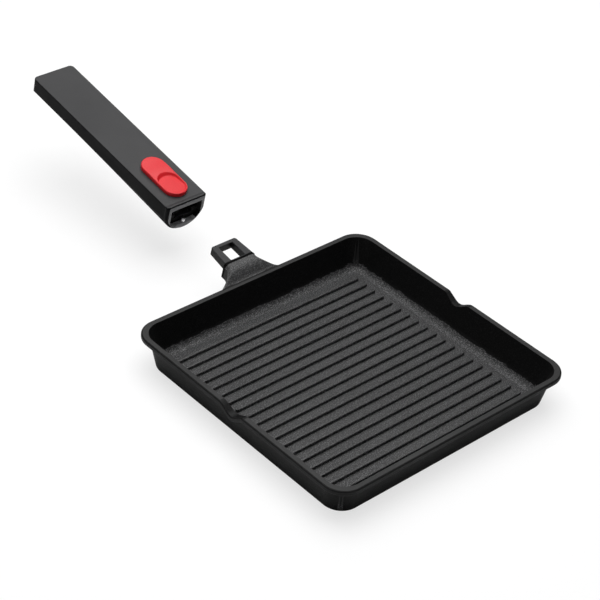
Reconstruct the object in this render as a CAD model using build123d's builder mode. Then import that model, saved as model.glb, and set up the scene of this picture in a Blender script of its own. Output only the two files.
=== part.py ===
from build123d import *
import os
from math import cos, pi, radians, sin, sqrt

# A square cast grill pan with two pouring spouts, and the grip that slides over the loop on its lug.
# Millimetres, +Z up. The origin is the middle of the base, on the surface that the pan stands on.
# The lug points along +Y. The grip is drawn off the lug, in line with it, with its latch released.

# Pan
PAN_SIDE = 240.0
PAN_HEIGHT = 30.4
RIM_RADIUS = 18.9
RIM_WIDTH = 5.0
LIP_HEIGHT = 4.4
LIP_OVERHANG = 4.9
LIP_EDGE = 1.3
LIP_COVE = 3.2
BASE_INSET = 9.5
BASE_RADIUS = 16.7
BASE_EDGE = 3.0
FLOOR_TOP = 3.2
FLOOR_INSET = 12.2
FLOOR_RADIUS = 15.0
WALL_FILLET = 9.0

# Ribs of the grill floor
RIB_COUNT = 19
RIB_PITCH = 10.32
RIB_WIDTH = 3.3
RIB_HEIGHT = 2.3
RIB_LENGTH = 192.0
RIB_TAPER = 6.0

# Pouring spouts, one in the middle of each side wall
SPOUT_WIDTH = 28.0
SPOUT_DIP = 6.0
SPOUT_REACH = 9.0

# Steel plate let into the base
PLATE_DIAMETER = 170.0
PLATE_THICKNESS = 0.8

# Lug: the end face of its cast neck, and the upward tilt that it shares with the grip
LUG_Y = 133.0
LUG_Z = 40.3
TILT = 10.0
NECK_WIDTH = 31.2
NECK_DEPTH = 20.5
NECK_SIDE = -14.5
NECK_CORNER = 4.2
NECK_STRAIGHT = 2.0
NECK_FLARE = 14.0
NECK_ROOT_WIDTH = 68.0
NECK_ROOT_DROP = 7.1
NECK_ROOT_SIDE = -16.0
NECK_ROOT_DEPTH = 24.0
NECK_ROOT_LENGTH = 10.0
FLARE_STEPS = 4
SEAL_THICKNESS = 2.4
SEAL_CORNER = 2.2
SEAL_SINK = 0.5

# Loop of the lug
LOOP_LENGTH = 23.0
LOOP_TOP = -0.4
LOOP_THICKNESS = 6.8
LOOP_ROOT_WIDTH = 28.8
LOOP_TIP_WIDTH = 25.4
LOOP_CORNER = 2.2
LOOP_EDGE = 0.4
WINDOW_WIDTH = 14.2
WINDOW_START = 3.4
WINDOW_END = 19.4
STUB_WIDTH = 19.0
STUB_TOP = -3.2
STUB_THICKNESS = 3.4
STUB_DEPTH = 7.5
LUG_SCREW_SPACING = 11.0
LUG_SCREW_SETBACK = 5.0
LUG_SCREW_SEAT = -11.0
LUG_SCREW_HEAD = 2.0
LUG_SCREW_HEAD_RADIUS = 2.8
SCREW_RADIUS = 1.5
SCREW_HOLE_RADIUS = 1.6

# Grip: distances behind its mouth, and heights above the top of the neck when it is seated
DRAWN_OFF = 68.25
SEATED_GAP = 2.55
GRIP_LENGTH = 193.0
GRIP_WIDTH = 40.8
GRIP_TOP = 5.4
GRIP_SPLIT = -7.6
GRIP_BOTTOM_FRONT = -23.6
GRIP_BOTTOM_REAR = -15.8
GRIP_EDGE = 1.0
REAR_CORNER = 4.0
GRIP_WALL = 2.6
LOWER_WALL = 2.2
REAR_WALL = 3.0

# Bezel and its mouth
BEZEL_DEPTH = 4.0
BEZEL_EDGE = 1.8
MOUTH_WIDTH = 31.7
MOUTH_TOP = 0.45
MOUTH_BOTTOM = -17.15
MOUTH_CORNER = 2.6
MOUTH_FLOOR_CORNER = 6.5
WEB_THICKNESS = 1.6
SPIGOT_DEPTH = 5.0
SPIGOT_WALL = 1.8
SPIGOT_PLAY = 0.1

# Stepped steel channel that the loop slides into
LINER_SHEET = 0.9
LINER_LENGTH = 25.0
LINER_WIDTH = 29.4
LINER_ROOF = -0.05
LINER_SHOULDER = -7.5
LINER_LOW_WIDTH = 18.4
LINER_FLOOR = -12.0
TOOTH_SLOT_AT = 14.0
TOOTH_SLOT_LENGTH = 7.6
STUD_AT = 2.4
STUD_RADIUS = 2.0
STUD_HEIGHT = 3.2
STUD_SHANK_RADIUS = 1.2
SADDLE_AT = (12.0, 25.0)
SADDLE_THICKNESS = 2.0

# Thumb button and its carrier
BUTTON_START = 8.0
BUTTON_LENGTH = 50.0
BUTTON_WIDTH = 21.5
BUTTON_HEIGHT = 4.0
BUTTON_EDGE = 0.6
DISH_RIM = 1.5
DISH_LENGTH = 27.0
DISH_SLOPE = 4.5
DISH_FRONT_DEPTH = 0.5
BUTTON_TRAVEL = 8.0
PLAY = 0.3
NECK_START = 30.0
NECK_END = 46.0
CARRIER_NECK_WIDTH = 8.0
CARRIER_PLATE_WIDTH = 10.0
CARRIER_PLATE_TOP = 2.5
CARRIER_PLATE_THICKNESS = 1.4
LEG_START = 33.0
LEG_LENGTH = 7.0
LEG_BOTTOM = -12.6
TAB_START = 66.0
TAB_THICKNESS = 2.0
TAB_BOTTOM = -8.0
TAB_WIDTH = 9.0
BUTTON_SCREW_AT = 43.3
BUTTON_SCREW_RADIUS = 1.2
BUTTON_SCREW_HEAD_RADIUS = 2.0

# Latch lever, which turns on a cross pin
PIVOT_AT = 55.0
PIVOT_HEIGHT = -14.1
LEVER_TURN = 7.0
LEVER_WIDTH = 7.0
LEVER_HALF_THICKNESS = 0.8
LEVER_TAIL = 30.0
LEVER_HUB_RADIUS = 3.1
TOOTH_WIDTH = 6.0
TOOTH_LENGTH = 3.9
TOOTH_TOP = -3.2
TOOTH_PLAY = 0.4
PIN_RADIUS = 1.5
PIN_LENGTH = 16.4
PIN_PLAY = 0.08

# Springs
WIRE_RADIUS = 0.35
SPRING_RADIUS = 2.6
BUTTON_SPRING_TURNS = 6
LATCH_SPRING_TURNS = 4
GUIDE_RADIUS = 1.2
GUIDE_HEIGHT = -4.5
GUIDE_HEAD_RADIUS = 2.2
SPRING_RIB_AT = 50.0
SPRING_RIB_THICKNESS = 2.4
LATCH_SPRING_AT = 27.0
LATCH_SEAT = -1.0
LATCH_SEAT_RADIUS = 4.4
LATCH_PEG_RADIUS = 1.7

# Screws that hold the two halves of the grip together
SHELL_SCREW_AT = (96.0, 139.0, 181.0)
BOSS_RADIUS = 3.6
SHELL_HOLE_RADIUS = 1.7
SHELL_HEAD_RADIUS = 2.6
SHELL_HEAD_HOLE_RADIUS = 2.9
SHELL_HEAD = 2.0
SHELL_SEAT_DROP = 6.0
SHELL_SCREW_LENGTH = 13.0

X_DIR = Vector(1, 0, 0)
AXIS = Vector(0, cos(radians(TILT)), sin(radians(TILT)))
UP = Vector(0, -sin(radians(TILT)), cos(radians(TILT)))
LUG = Vector(0, LUG_Y, LUG_Z)
MOUTH = LUG + AXIS * (DRAWN_OFF + SEATED_GAP)

os.makedirs("parts", exist_ok=True)


def deck(origin, height=0.0):
    """Plan view of the lug or grip: X across, and Y along its axis, at a height over the neck's top."""
    return Plane(origin=origin + UP * height, x_dir=X_DIR, z_dir=UP)


def station(origin, along=0.0):
    """Cross section of the lug or grip at a distance along its axis: Y points up."""
    return Plane(origin=origin + AXIS * along, x_dir=-X_DIR, z_dir=AXIS)


def profile(origin, offset=0.0):
    """Side view of the lug or grip: X along its axis and Y up, at an offset to the right."""
    return Plane(origin=origin + X_DIR * offset, x_dir=AXIS, z_dir=X_DIR)


def dee(width, top, side, bottom, corner):
    """Flat-topped section with upright sides and a round bottom."""
    half = width / 2
    with BuildSketch(Plane.XY, mode=Mode.PRIVATE) as section:
        with BuildLine():
            Line((-half + corner, top), (half - corner, top))
            RadiusArc((half - corner, top), (half, top - corner), corner)
            Line((half, top - corner), (half, side))
            ThreePointArc((half, side), (0, bottom), (-half, side))
            Line((-half, side), (-half, top - corner))
            RadiusArc((-half, top - corner), (-half + corner, top), corner)
        make_face()
    return section.sketch_local


def belly(width, top, bottom, ceiling):
    """Section of the grip's lower half: a round bottom, and upright sides between its split and a ceiling."""
    half = width / 2
    with BuildSketch(Plane.XY, mode=Mode.PRIVATE) as section:
        with BuildLine():
            Polyline((-half, top), (-half, ceiling), (half, ceiling), (half, top))
            ThreePointArc((half, top), (0, bottom), (-half, top))
        make_face()
    return section.sketch_local


def round_half(width, top, bottom):
    """Section with a flat top and a round bottom."""
    half = width / 2
    with BuildSketch(Plane.XY, mode=Mode.PRIVATE) as section:
        with BuildLine():
            Line((-half, top), (half, top))
            ThreePointArc((half, top), (0, bottom), (-half, top))
        make_face()
    return section.sketch_local


def stepped(width, low_width, top, shoulder, floor):
    """Section of the channel: wide above its shoulders and narrow below them."""
    wide = width / 2
    low = low_width / 2
    with BuildSketch(Plane.XY, mode=Mode.PRIVATE) as section:
        Polygon(
            (-wide, top), (-wide, shoulder), (-low, shoulder), (-low, floor),
            (low, floor), (low, shoulder), (wide, shoulder), (wide, top), align=None,
        )
    return section.sketch_local


def channel_outside(top):
    """Outer outline of the channel, up to a given top."""
    return stepped(
        LINER_WIDTH + 2 * LINER_SHEET, LINER_LOW_WIDTH + 2 * LINER_SHEET,
        top, LINER_SHOULDER - LINER_SHEET, LINER_FLOOR - LINER_SHEET,
    )


def bottom_at(along):
    """Height of the grip's underside at a distance behind the mouth."""
    share = along / GRIP_LENGTH
    return GRIP_BOTTOM_FRONT + (GRIP_BOTTOM_REAR - GRIP_BOTTOM_FRONT) * share


def level(edge_list, height):
    """The edges that lie flat at one height."""
    return edge_list.filter_by_position(Axis.Z, height - 0.01, height + 0.01)


def on_rim(corner):
    """Whether a corner point lies on the outer outline of the rim."""
    across = max(abs(corner.X) - PAN_SIDE / 2 + RIM_RADIUS, 0)
    along = max(abs(corner.Y) - PAN_SIDE / 2 + RIM_RADIUS, 0)
    return abs(sqrt(across ** 2 + along ** 2) - RIM_RADIUS) < 0.01


def neck_section(share):
    """Section of the neck's flare, at a share of the way from its straight end to its root."""
    ease = (1 - cos(pi * share)) / 2
    width = NECK_WIDTH + (NECK_ROOT_WIDTH - NECK_WIDTH) * share ** 2
    side = NECK_SIDE + (NECK_ROOT_SIDE - NECK_SIDE) * share
    depth = NECK_DEPTH + (NECK_ROOT_DEPTH - NECK_DEPTH) * share
    return dee(width, -NECK_ROOT_DROP * ease ** 2, side, -depth, NECK_CORNER)


def spout_wave(height):
    """Points of the smooth dip that a level edge of the rim makes at a spout, seen from the side."""
    half = SPOUT_WIDTH / 2
    shares = [step / 4 for step in range(-4, 5)]
    return [(share * half, height - SPOUT_DIP * (1 + cos(pi * share)) / 2) for share in shares]


# Cast pan: floor, walls, rolled lip, spouts, ribs and the neck of the lug in one casting
lip_bottom = PAN_HEIGHT - LIP_HEIGHT
base_side = PAN_SIDE - 2 * BASE_INSET
wall_side = PAN_SIDE - 2 * LIP_OVERHANG
opening_side = PAN_SIDE - 2 * RIM_WIDTH
floor_side = PAN_SIDE - 2 * FLOOR_INSET
with BuildPart() as pan_casting:
    with BuildSketch(Plane.XY):
        RectangleRounded(base_side, base_side, BASE_RADIUS)
    with BuildSketch(Plane.XY.offset(lip_bottom)):
        RectangleRounded(wall_side, wall_side, RIM_RADIUS - 1)
    loft(ruled=True)
    fillet(level(edges(), 0), BASE_EDGE)
    with BuildSketch(Plane.XY.offset(lip_bottom)):
        RectangleRounded(PAN_SIDE, PAN_SIDE, RIM_RADIUS)
    extrude(amount=LIP_HEIGHT)
    ledge = faces().filter_by_position(Axis.Z, lip_bottom - 0.01, lip_bottom + 0.01)[0]
    fillet(ledge.inner_wires()[0].edges(), LIP_COVE)
    # The rim dips at each spout, and its lip follows the dip
    for side_sign in (-1, 1):
        spout_start = (side_sign * (PAN_SIDE / 2 - SPOUT_REACH), 0, 0)
        spout_face = Plane(origin=spout_start, x_dir=(0, side_sign, 0), z_dir=(side_sign, 0, 0))
        upper = spout_wave(PAN_HEIGHT)
        lower = spout_wave(lip_bottom)
        with BuildSketch(spout_face):
            with BuildLine():
                Spline(*lower, tangents=[(1, 0), (1, 0)])
                Polyline(lower[-1], (SPOUT_WIDTH / 2, PAN_HEIGHT), (-SPOUT_WIDTH / 2, PAN_HEIGHT), lower[0])
            make_face()
        extrude(amount=SPOUT_REACH)
        with BuildSketch(spout_face):
            with BuildLine():
                Spline(*upper, tangents=[(1, 0), (1, 0)])
                Polyline(upper[-1], (SPOUT_WIDTH / 2, PAN_HEIGHT + 5), (-SPOUT_WIDTH / 2, PAN_HEIGHT + 5), upper[0])
            make_face()
        extrude(amount=2 * SPOUT_REACH, mode=Mode.SUBTRACT)

    # Rounded edges along the whole lip, through the spouts
    lip_sides = [face for face in faces() if all(on_rim(corner) for corner in face.vertices())]
    lip_sides = [face for face in lip_sides if abs(face.normal_at().Z) < 0.1]
    lip_edges = [edge for face in lip_sides for edge in face.edges() if abs(edge.tangent_at(0.5).Z) < 0.9]
    fillet(lip_edges, LIP_EDGE)

    # Neck of the lug: a straight end, a flare, and a root that runs into the wall
    with BuildSketch(station(LUG)):
        add(dee(NECK_WIDTH, 0, NECK_SIDE, -NECK_DEPTH, NECK_CORNER))
    extrude(amount=-NECK_STRAIGHT)
    for step in range(FLARE_STEPS + 1):
        with BuildSketch(station(LUG, -NECK_STRAIGHT - NECK_FLARE * step / FLARE_STEPS)):
            add(neck_section(step / FLARE_STEPS))
    loft()
    with BuildSketch(station(LUG, -NECK_STRAIGHT - NECK_FLARE)):
        add(neck_section(1))
    extrude(amount=-NECK_ROOT_LENGTH)

    # Cavity, with a round foot to its walls
    with BuildSketch(Plane.XY.offset(FLOOR_TOP)):
        RectangleRounded(floor_side, floor_side, FLOOR_RADIUS)
    with BuildSketch(Plane.XY.offset(PAN_HEIGHT)):
        RectangleRounded(opening_side, opening_side, RIM_RADIUS - RIM_WIDTH + 2)
    loft(ruled=True, mode=Mode.SUBTRACT)
    with BuildSketch(Plane.XY.offset(PAN_HEIGHT)):
        RectangleRounded(opening_side, opening_side, RIM_RADIUS - RIM_WIDTH + 2)
    extrude(amount=20, mode=Mode.SUBTRACT)
    fillet(level(edges(), FLOOR_TOP), WALL_FILLET)

    # Ribs with round ends
    with BuildSketch(Plane.XY.offset(FLOOR_TOP)):
        with GridLocations(0, RIB_PITCH, 1, RIB_COUNT):
            SlotOverall(RIB_LENGTH, RIB_WIDTH)
    extrude(amount=RIB_HEIGHT, taper=RIB_TAPER)

    # Recess for the base plate
    with BuildSketch(Plane.XY):
        Circle(PLATE_DIAMETER / 2)
    extrude(amount=PLATE_THICKNESS, mode=Mode.SUBTRACT)

    # Socket for the loop's stub, and the screw holes under it
    with BuildSketch(station(LUG)):
        with Locations((0, STUB_TOP - STUB_THICKNESS / 2)):
            Rectangle(STUB_WIDTH, STUB_THICKNESS)
    extrude(amount=-STUB_DEPTH, mode=Mode.SUBTRACT)
    with BuildSketch(deck(LUG, STUB_TOP - STUB_THICKNESS / 2)):
        with Locations((0, -LUG_SCREW_SETBACK)):
            with GridLocations(LUG_SCREW_SPACING, 0, 2, 1):
                Circle(SCREW_HOLE_RADIUS)
    extrude(amount=-30, mode=Mode.SUBTRACT)
    with BuildSketch(deck(LUG, LUG_SCREW_SEAT)):
        with Locations((0, -LUG_SCREW_SETBACK)):
            with GridLocations(LUG_SCREW_SPACING, 0, 2, 1):
                Circle(LUG_SCREW_HEAD_RADIUS + PLAY)
    extrude(amount=-20, mode=Mode.SUBTRACT)
pan_casting.part.label = "pan_casting"
export_step(pan_casting.part, "parts/pan_casting.step")

# Steel plate bonded into the base
with BuildPart() as base_plate:
    with BuildSketch(Plane.XY):
        Circle(PLATE_DIAMETER / 2)
    extrude(amount=PLATE_THICKNESS)
base_plate.part.label = "base_plate"
export_step(base_plate.part, "parts/base_plate.step")

# Seal between the neck and the loop
with BuildPart() as lug_seal:
    with BuildSketch(station(LUG)):
        add(dee(NECK_WIDTH, -SEAL_SINK, NECK_SIDE, -NECK_DEPTH, SEAL_CORNER))
        with Locations((0, STUB_TOP - STUB_THICKNESS / 2)):
            Rectangle(STUB_WIDTH, STUB_THICKNESS, mode=Mode.SUBTRACT)
    extrude(amount=SEAL_THICKNESS)
lug_seal.part.label = "lug_seal"
export_step(lug_seal.part, "parts/lug_seal.step")

# Loop with a window for the latch, and the stub that plugs into the neck
with BuildPart() as lug_loop:
    with BuildSketch(deck(LUG, LOOP_TOP - LOOP_THICKNESS)):
        with BuildLine():
            Polyline(
                (-LOOP_ROOT_WIDTH / 2, SEAL_THICKNESS), (LOOP_ROOT_WIDTH / 2, SEAL_THICKNESS),
                (LOOP_TIP_WIDTH / 2, LOOP_LENGTH), (-LOOP_TIP_WIDTH / 2, LOOP_LENGTH), close=True,
            )
        make_face()
        fillet(vertices().group_by(Axis.Y)[-1], LOOP_CORNER)
        with Locations((0, (WINDOW_START + WINDOW_END) / 2)):
            RectangleRounded(WINDOW_WIDTH, WINDOW_END - WINDOW_START, 0.6, mode=Mode.SUBTRACT)
    extrude(amount=LOOP_THICKNESS)
    chamfer(faces().sort_by(Axis(LUG, UP))[-1].edges(), LOOP_EDGE)
    with BuildSketch(station(LUG, -STUB_DEPTH + 0.5)):
        with Locations((0, STUB_TOP - STUB_THICKNESS / 2)):
            Rectangle(STUB_WIDTH, STUB_THICKNESS)
    extrude(amount=STUB_DEPTH - 0.5 + SEAL_THICKNESS)
    with BuildSketch(deck(LUG, STUB_TOP - STUB_THICKNESS)):
        with Locations((0, -LUG_SCREW_SETBACK)):
            with GridLocations(LUG_SCREW_SPACING, 0, 2, 1):
                Circle(SCREW_RADIUS)
    extrude(amount=STUB_THICKNESS - 1, mode=Mode.SUBTRACT)
lug_loop.part.label = "lug_loop"
export_step(lug_loop.part, "parts/lug_loop.step")

# Two screws that hold the stub from below
with BuildPart() as lug_screws:
    with BuildSketch(deck(LUG, LUG_SCREW_SEAT)):
        with Locations((0, -LUG_SCREW_SETBACK)):
            with GridLocations(LUG_SCREW_SPACING, 0, 2, 1):
                Circle(LUG_SCREW_HEAD_RADIUS)
    extrude(amount=-LUG_SCREW_HEAD)
    with BuildSketch(deck(LUG, LUG_SCREW_SEAT)):
        with Locations((0, -LUG_SCREW_SETBACK)):
            with GridLocations(LUG_SCREW_SPACING, 0, 2, 1):
                Circle(SCREW_RADIUS)
    extrude(amount=STUB_TOP - 1.2 - LUG_SCREW_SEAT)
lug_screws.part.label = "lug_screws"
export_step(lug_screws.part, "parts/lug_screws.step")

# Upper half of the grip: flat top with the button's slot, ribs and screw bosses inside
shell_top = GRIP_TOP - GRIP_WALL
with BuildPart() as grip_top:
    with BuildSketch(station(MOUTH, BEZEL_DEPTH)):
        with Locations((0, (GRIP_TOP + GRIP_SPLIT) / 2)):
            Rectangle(GRIP_WIDTH, GRIP_TOP - GRIP_SPLIT)
    extrude(amount=GRIP_LENGTH - BEZEL_DEPTH)
    fillet(faces().sort_by(Axis(MOUTH, AXIS))[-1].edges().filter_by(Axis(MOUTH, UP)), REAR_CORNER)
    top_face = faces().sort_by(Axis(MOUTH, UP))[-1]
    front_edge = top_face.edges().sort_by(Axis(MOUTH, AXIS))[0]
    fillet([e for e in top_face.edges() if e != front_edge], GRIP_EDGE)
    with BuildSketch(station(MOUTH, BEZEL_DEPTH)):
        with Locations((0, (shell_top + GRIP_SPLIT) / 2 - 0.5)):
            Rectangle(GRIP_WIDTH - 2 * GRIP_WALL, shell_top - GRIP_SPLIT + 1)
    extrude(amount=GRIP_LENGTH - BEZEL_DEPTH - REAR_WALL, mode=Mode.SUBTRACT)

    # Rib that the button's spring pushes against, notched for the carrier and drilled for its guide
    rib_bottom = -9.2
    with BuildSketch(station(MOUTH, SPRING_RIB_AT)):
        with Locations((0, (shell_top + rib_bottom) / 2 + 0.5)):
            Rectangle(GRIP_WIDTH - 2 * GRIP_WALL - 8, shell_top - rib_bottom + 1)
        with Locations((0, shell_top / 2 - 0.6)):
            Rectangle(CARRIER_PLATE_WIDTH + 1, shell_top + 1.2, mode=Mode.SUBTRACT)
        with Locations((0, GUIDE_HEIGHT)):
            Circle(GUIDE_RADIUS, mode=Mode.SUBTRACT)
    extrude(amount=SPRING_RIB_THICKNESS)

    # Ribs that hold the lever's pin down
    with BuildSketch(profile(MOUTH)):
        with Locations((PIVOT_AT, (shell_top + PIVOT_HEIGHT + PIN_RADIUS) / 2 + 0.5)):
            Rectangle(2 * PIN_RADIUS - 0.4, shell_top - PIVOT_HEIGHT - PIN_RADIUS + 1)
    extrude(amount=8.2, both=True)
    with BuildSketch(profile(MOUTH)):
        with Locations((PIVOT_AT, (shell_top + PIVOT_HEIGHT) / 2)):
            Rectangle(4, shell_top - PIVOT_HEIGHT)
    extrude(amount=5.8, both=True, mode=Mode.SUBTRACT)

    # Seat and peg of the latch spring
    with BuildSketch(deck(MOUTH, shell_top + 1)):
        with Locations((0, PIVOT_AT + LATCH_SPRING_AT)):
            Circle(LATCH_SEAT_RADIUS)
    extrude(amount=LATCH_SEAT - shell_top - 1)
    with BuildSketch(deck(MOUTH, LATCH_SEAT)):
        with Locations((0, PIVOT_AT + LATCH_SPRING_AT)):
            Circle(LATCH_PEG_RADIUS)
    extrude(amount=-3.5)

    # Pads over the channel, and bosses for the screws
    with BuildSketch(deck(MOUTH, shell_top + 1)):
        for pad_at in SADDLE_AT:
            with Locations((0, pad_at + SADDLE_THICKNESS / 2)):
                Rectangle(LINER_WIDTH, SADDLE_THICKNESS)
    extrude(amount=LINER_ROOF + LINER_SHEET - shell_top - 1)
    with BuildSketch(deck(MOUTH, shell_top + 1)):
        for screw_at in SHELL_SCREW_AT:
            with Locations((0, screw_at)):
                Circle(BOSS_RADIUS)
    extrude(amount=GRIP_SPLIT - shell_top - 1)
    with BuildSketch(deck(MOUTH, GRIP_SPLIT)):
        for screw_at in SHELL_SCREW_AT:
            with Locations((0, screw_at)):
                Circle(SCREW_RADIUS)
    extrude(amount=8, mode=Mode.SUBTRACT)

    # Slot that the carrier's neck slides in
    slot_start = NECK_START - PLAY - 0.1
    slot_end = NECK_END + BUTTON_TRAVEL + PLAY + 0.1
    with BuildSketch(deck(MOUTH, GRIP_TOP + 1)):
        with Locations((0, (slot_start + slot_end) / 2)):
            RectangleRounded(CARRIER_NECK_WIDTH + 2 * PLAY, slot_end - slot_start, 0.5)
    extrude(amount=-GRIP_WALL - 2, mode=Mode.SUBTRACT)
grip_top.part.label = "grip_top"
export_step(grip_top.part, "parts/grip_top.step")

# Lower half of the grip: round belly, saddles for the channel, cradle for the lever's pin and bosses
with BuildPart() as grip_belly:
    with BuildSketch(station(MOUTH, BEZEL_DEPTH)):
        add(round_half(GRIP_WIDTH, GRIP_SPLIT, bottom_at(BEZEL_DEPTH)))
    with BuildSketch(station(MOUTH, GRIP_LENGTH)):
        add(round_half(GRIP_WIDTH, GRIP_SPLIT, bottom_at(GRIP_LENGTH)))
    loft(ruled=True)
    rear_face = faces().sort_by(Axis(MOUTH, AXIS))[-1]
    fillet(rear_face.edges().sort_by(Axis(MOUTH, UP))[0], GRIP_EDGE)
    with BuildSketch(deck(MOUTH, GRIP_SPLIT)):
        with Locations((0, GRIP_LENGTH / 2)):
            RectangleRounded(GRIP_WIDTH, GRIP_LENGTH, REAR_CORNER)
    extrude(amount=GRIP_BOTTOM_FRONT, mode=Mode.INTERSECT)
    with BuildSketch(station(MOUTH, BEZEL_DEPTH - 0.01)):
        add(belly(GRIP_WIDTH - 2 * LOWER_WALL, GRIP_SPLIT, bottom_at(BEZEL_DEPTH) + LOWER_WALL, GRIP_SPLIT + 1))
    with BuildSketch(station(MOUTH, GRIP_LENGTH - REAR_WALL)):
        add(belly(GRIP_WIDTH - 2 * LOWER_WALL, GRIP_SPLIT, bottom_at(GRIP_LENGTH) + LOWER_WALL, GRIP_SPLIT + 1))
    loft(ruled=True, mode=Mode.SUBTRACT)

    # Saddles under the channel, open in the middle for the lever
    for saddle_at in SADDLE_AT:
        with BuildSketch(station(MOUTH, saddle_at)):
            add(round_half(GRIP_WIDTH - LOWER_WALL, GRIP_SPLIT, bottom_at(saddle_at) + LOWER_WALL / 2))
            add(channel_outside(GRIP_SPLIT + 1), mode=Mode.SUBTRACT)
            Rectangle(LEVER_WIDTH + 3, 100, mode=Mode.SUBTRACT)
        extrude(amount=SADDLE_THICKNESS)

    # Cradle: two cheeks with open-topped seats for the pin
    with BuildSketch(profile(MOUTH)):
        with Locations((PIVOT_AT, (PIVOT_HEIGHT - 5.8 + PIVOT_HEIGHT + 3.1) / 2)):
            Rectangle(8, 8.9)
        with Locations((PIVOT_AT, PIVOT_HEIGHT)):
            Circle(PIN_RADIUS, mode=Mode.SUBTRACT)
        with Locations((PIVOT_AT, PIVOT_HEIGHT + 2.5)):
            Rectangle(2 * PIN_RADIUS, 5, mode=Mode.SUBTRACT)
    extrude(amount=8.4, both=True)
    with BuildSketch(profile(MOUTH)):
        with Locations((PIVOT_AT, PIVOT_HEIGHT)):
            Rectangle(10, 11.59)
    extrude(amount=4.6, both=True, mode=Mode.SUBTRACT)

    # Screw bosses, drilled and counterbored from below
    for screw_at in SHELL_SCREW_AT:
        with BuildSketch(deck(MOUTH, GRIP_SPLIT)):
            with Locations((0, screw_at)):
                Circle(BOSS_RADIUS)
        extrude(amount=bottom_at(screw_at) + LOWER_WALL / 2 - GRIP_SPLIT)
    with BuildSketch(deck(MOUTH, GRIP_SPLIT)):
        for screw_at in SHELL_SCREW_AT:
            with Locations((0, screw_at)):
                Circle(SHELL_HOLE_RADIUS)
    extrude(amount=-30, mode=Mode.SUBTRACT)
    with BuildSketch(deck(MOUTH, GRIP_SPLIT - SHELL_SEAT_DROP)):
        for screw_at in SHELL_SCREW_AT:
            with Locations((0, screw_at)):
                Circle(SHELL_HEAD_HOLE_RADIUS)
    extrude(amount=-30, mode=Mode.SUBTRACT)
grip_belly.part.label = "grip_belly"
export_step(grip_belly.part, "parts/grip_belly.step")

# Three screws that join the halves
with BuildPart() as shell_screws:
    with BuildSketch(deck(MOUTH, GRIP_SPLIT - SHELL_SEAT_DROP)):
        for screw_at in SHELL_SCREW_AT:
            with Locations((0, screw_at)):
                Circle(SHELL_HEAD_RADIUS)
    extrude(amount=-SHELL_HEAD)
    with BuildSketch(deck(MOUTH, GRIP_SPLIT - SHELL_SEAT_DROP)):
        for screw_at in SHELL_SCREW_AT:
            with Locations((0, screw_at)):
                Circle(SCREW_RADIUS)
    extrude(amount=SHELL_SCREW_LENGTH)
shell_screws.part.label = "shell_screws"
export_step(shell_screws.part, "parts/shell_screws.step")

# Bezel: the ring round the mouth, a web that carries the channel, and a spigot inside the halves
spigot_width = GRIP_WIDTH - 2 * GRIP_WALL - 2 * SPIGOT_PLAY
spigot_top = shell_top - SPIGOT_PLAY
spigot_bottom = bottom_at(BEZEL_DEPTH) + LOWER_WALL + 2 * SPIGOT_PLAY
with BuildPart() as mouth_bezel:
    with BuildSketch(station(MOUTH)):
        add(dee(GRIP_WIDTH - 2 * BEZEL_EDGE, GRIP_TOP - 0.5, GRIP_SPLIT, bottom_at(0) + BEZEL_EDGE, GRIP_EDGE))
    with BuildSketch(station(MOUTH, BEZEL_EDGE)):
        add(dee(GRIP_WIDTH, GRIP_TOP, GRIP_SPLIT, bottom_at(BEZEL_DEPTH), GRIP_EDGE))
    loft(ruled=True)
    with BuildSketch(station(MOUTH, BEZEL_EDGE)):
        add(dee(GRIP_WIDTH, GRIP_TOP, GRIP_SPLIT, bottom_at(BEZEL_DEPTH), GRIP_EDGE))
    extrude(amount=BEZEL_DEPTH - BEZEL_EDGE)
    with BuildSketch(station(MOUTH, BEZEL_DEPTH)):
        add(belly(spigot_width, GRIP_SPLIT, spigot_bottom, spigot_top))
    extrude(amount=SPIGOT_DEPTH)
    with BuildSketch(station(MOUTH, BEZEL_DEPTH + WEB_THICKNESS)):
        add(belly(
            spigot_width - 2 * SPIGOT_WALL, GRIP_SPLIT, spigot_bottom + SPIGOT_WALL, spigot_top - SPIGOT_WALL,
        ))
    extrude(amount=SPIGOT_DEPTH, mode=Mode.SUBTRACT)
    with BuildSketch(station(MOUTH)):
        with Locations((0, (MOUTH_TOP + MOUTH_BOTTOM) / 2)):
            Rectangle(MOUTH_WIDTH, MOUTH_TOP - MOUTH_BOTTOM)
        fillet(vertices().group_by(Axis.Y)[-1], MOUTH_CORNER)
        fillet(vertices().group_by(Axis.Y)[0], MOUTH_FLOOR_CORNER)
    extrude(amount=BEZEL_DEPTH, mode=Mode.SUBTRACT)
    with BuildSketch(station(MOUTH)):
        add(channel_outside(LINER_ROOF + LINER_SHEET))
    extrude(amount=20, mode=Mode.SUBTRACT)
    with BuildSketch(deck(MOUTH, MOUTH_BOTTOM)):
        with Locations((0, STUD_AT)):
            Circle(STUD_RADIUS)
    extrude(amount=STUD_HEIGHT, mode=Mode.SUBTRACT)
    with BuildSketch(deck(MOUTH, MOUTH_BOTTOM)):
        with Locations((0, STUD_AT)):
            Circle(STUD_SHANK_RADIUS)
    extrude(amount=-4, mode=Mode.SUBTRACT)
mouth_bezel.part.label = "mouth_bezel"
export_step(mouth_bezel.part, "parts/mouth_bezel.step")

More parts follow.
